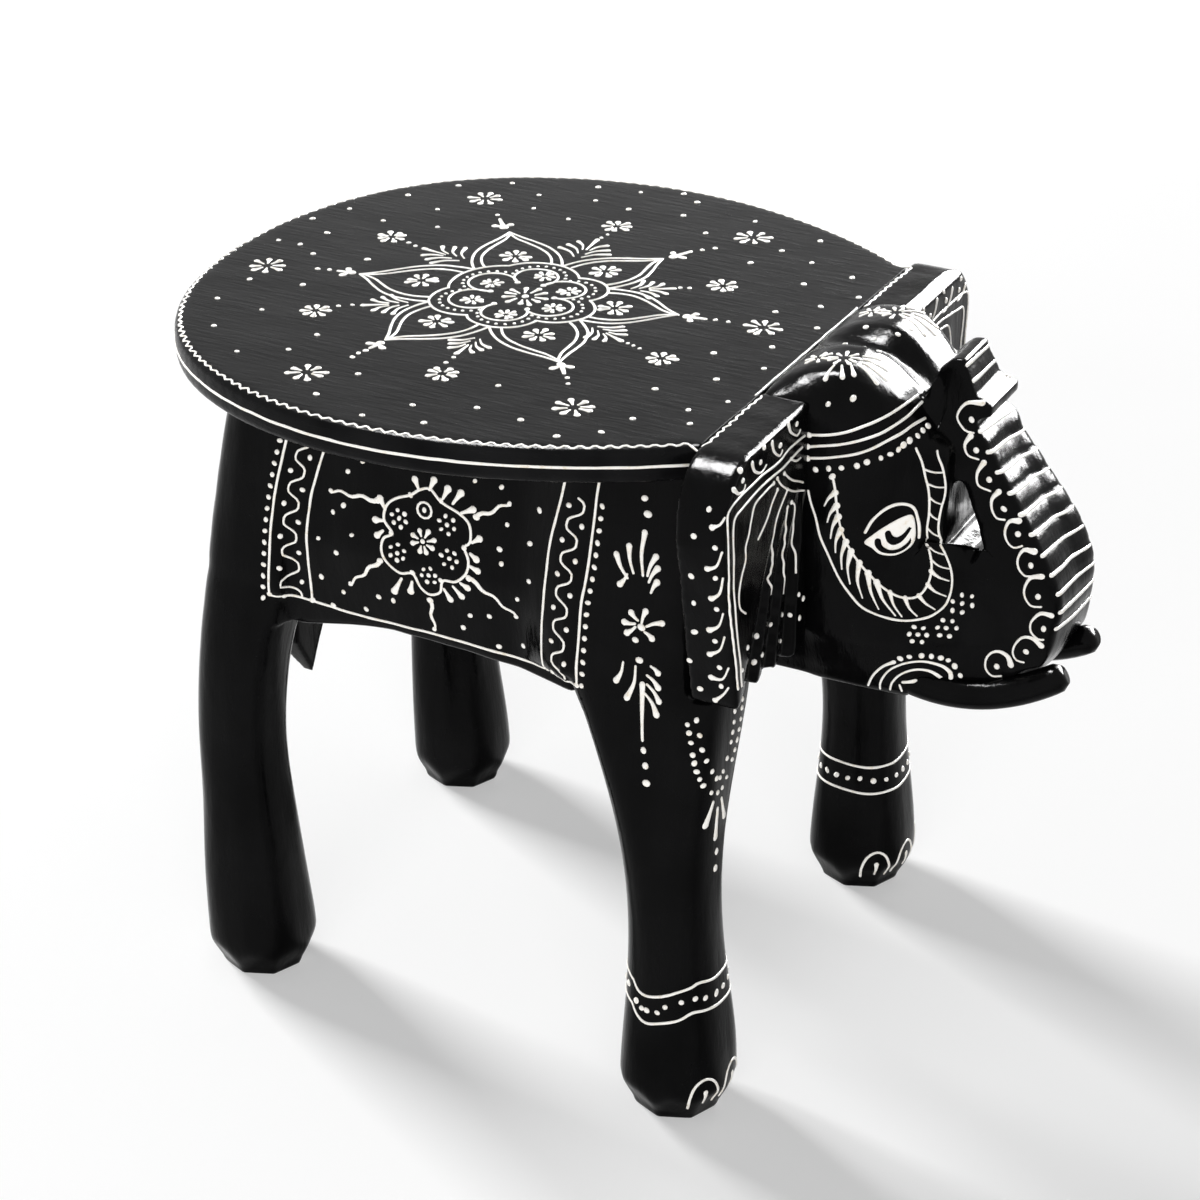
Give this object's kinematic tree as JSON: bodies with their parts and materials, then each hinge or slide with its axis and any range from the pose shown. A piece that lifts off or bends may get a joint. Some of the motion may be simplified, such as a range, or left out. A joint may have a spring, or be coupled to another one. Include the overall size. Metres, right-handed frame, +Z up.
{
  "type": "carved elephant stool",
  "caption": "Low wooden stool carved as an elephant: D-shaped seat on its back, four legs, pleated ears, curled trunk with tusks, black lacquer with raised cream folk ornament.",
  "frame": {"origin": "on the floor, under the middle of the overall length from the seat's rear edge to the tusks' tips, on the middle plane", "axes": "+X towards the elephant's head, +Y to the elephant's left side, +Z up"},
  "size_m": [0.3901, 0.2926, 0.315],
  "materials": {
    "seat_lacquer": "satin black lacquer over brushed wood grain",
    "black_lacquer": "gloss black lacquer over hand-carved wood",
    "cream_paint": "raised cream-white cone paint",
    "dowel_wood": "raw hardwood"
  },
  "bodies": {
    "root": {"seat_board": "seat_lacquer", "body_block": "black_lacquer", "front_right_leg": "black_lacquer", "front_left_leg": "black_lacquer", "rear_right_leg": "black_lacquer", "rear_left_leg": "black_lacquer", "ear_board": "black_lacquer", "head_block": "black_lacquer", "trunk": "black_lacquer", "tusk_right": "black_lacquer", "tusk_left": "black_lacquer", "tail": "black_lacquer", "seat_dowels": "dowel_wood", "leg_dowels": "dowel_wood", "ear_dowels": "dowel_wood", "head_dowels": "dowel_wood", "trunk_dowels": "dowel_wood"}
  },
  "joints": []
}
